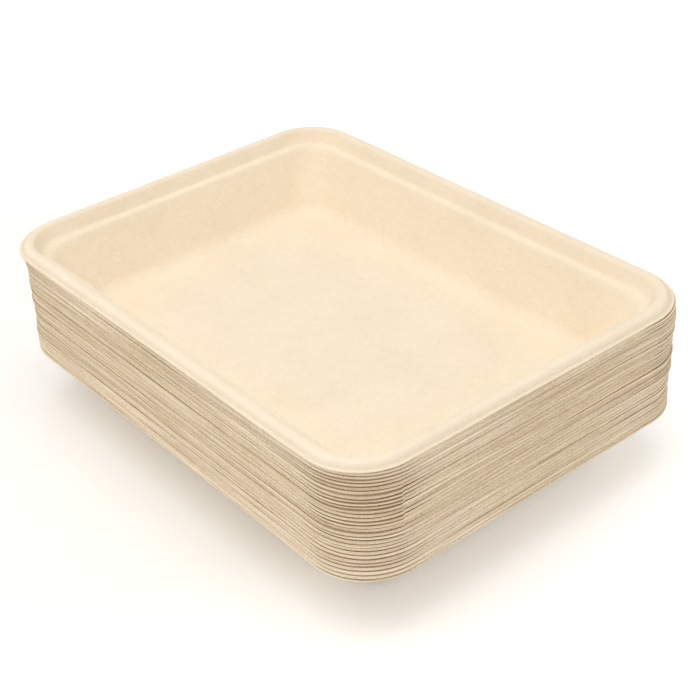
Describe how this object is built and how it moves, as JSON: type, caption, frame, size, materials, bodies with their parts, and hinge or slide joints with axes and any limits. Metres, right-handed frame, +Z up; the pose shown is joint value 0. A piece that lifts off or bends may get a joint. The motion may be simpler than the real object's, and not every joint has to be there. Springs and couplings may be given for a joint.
{
  "type": "stack of moulded fibre trays",
  "caption": "Nested stack of rectangular moulded pulp food trays with rounded corners, a stepped wall and a rolled rim, open at the top.",
  "frame": {"origin": "on the surface that the stack stands on, under the middle of the lowest tray", "axes": "+X along the long side of the trays, +Y along the short side, +Z up"},
  "size_m": [0.305, 0.224, 0.1024],
  "materials": {
    "pulp": "matte"
  },
  "bodies": {
    "root": {"tray_01": "pulp", "tray_02": "pulp", "tray_03": "pulp", "tray_04": "pulp", "tray_05": "pulp", "tray_06": "pulp", "tray_07": "pulp", "tray_08": "pulp", "tray_09": "pulp", "tray_10": "pulp", "tray_11": "pulp", "tray_12": "pulp", "tray_13": "pulp", "tray_14": "pulp", "tray_15": "pulp", "tray_16": "pulp", "tray_17": "pulp", "tray_18": "pulp", "tray_19": "pulp", "tray_20": "pulp", "tray_21": "pulp", "tray_22": "pulp", "tray_23": "pulp", "tray_24": "pulp", "tray_25": "pulp", "tray_26": "pulp", "tray_27": "pulp", "tray_28": "pulp", "tray_29": "pulp", "tray_30": "pulp"}
  },
  "joints": []
}
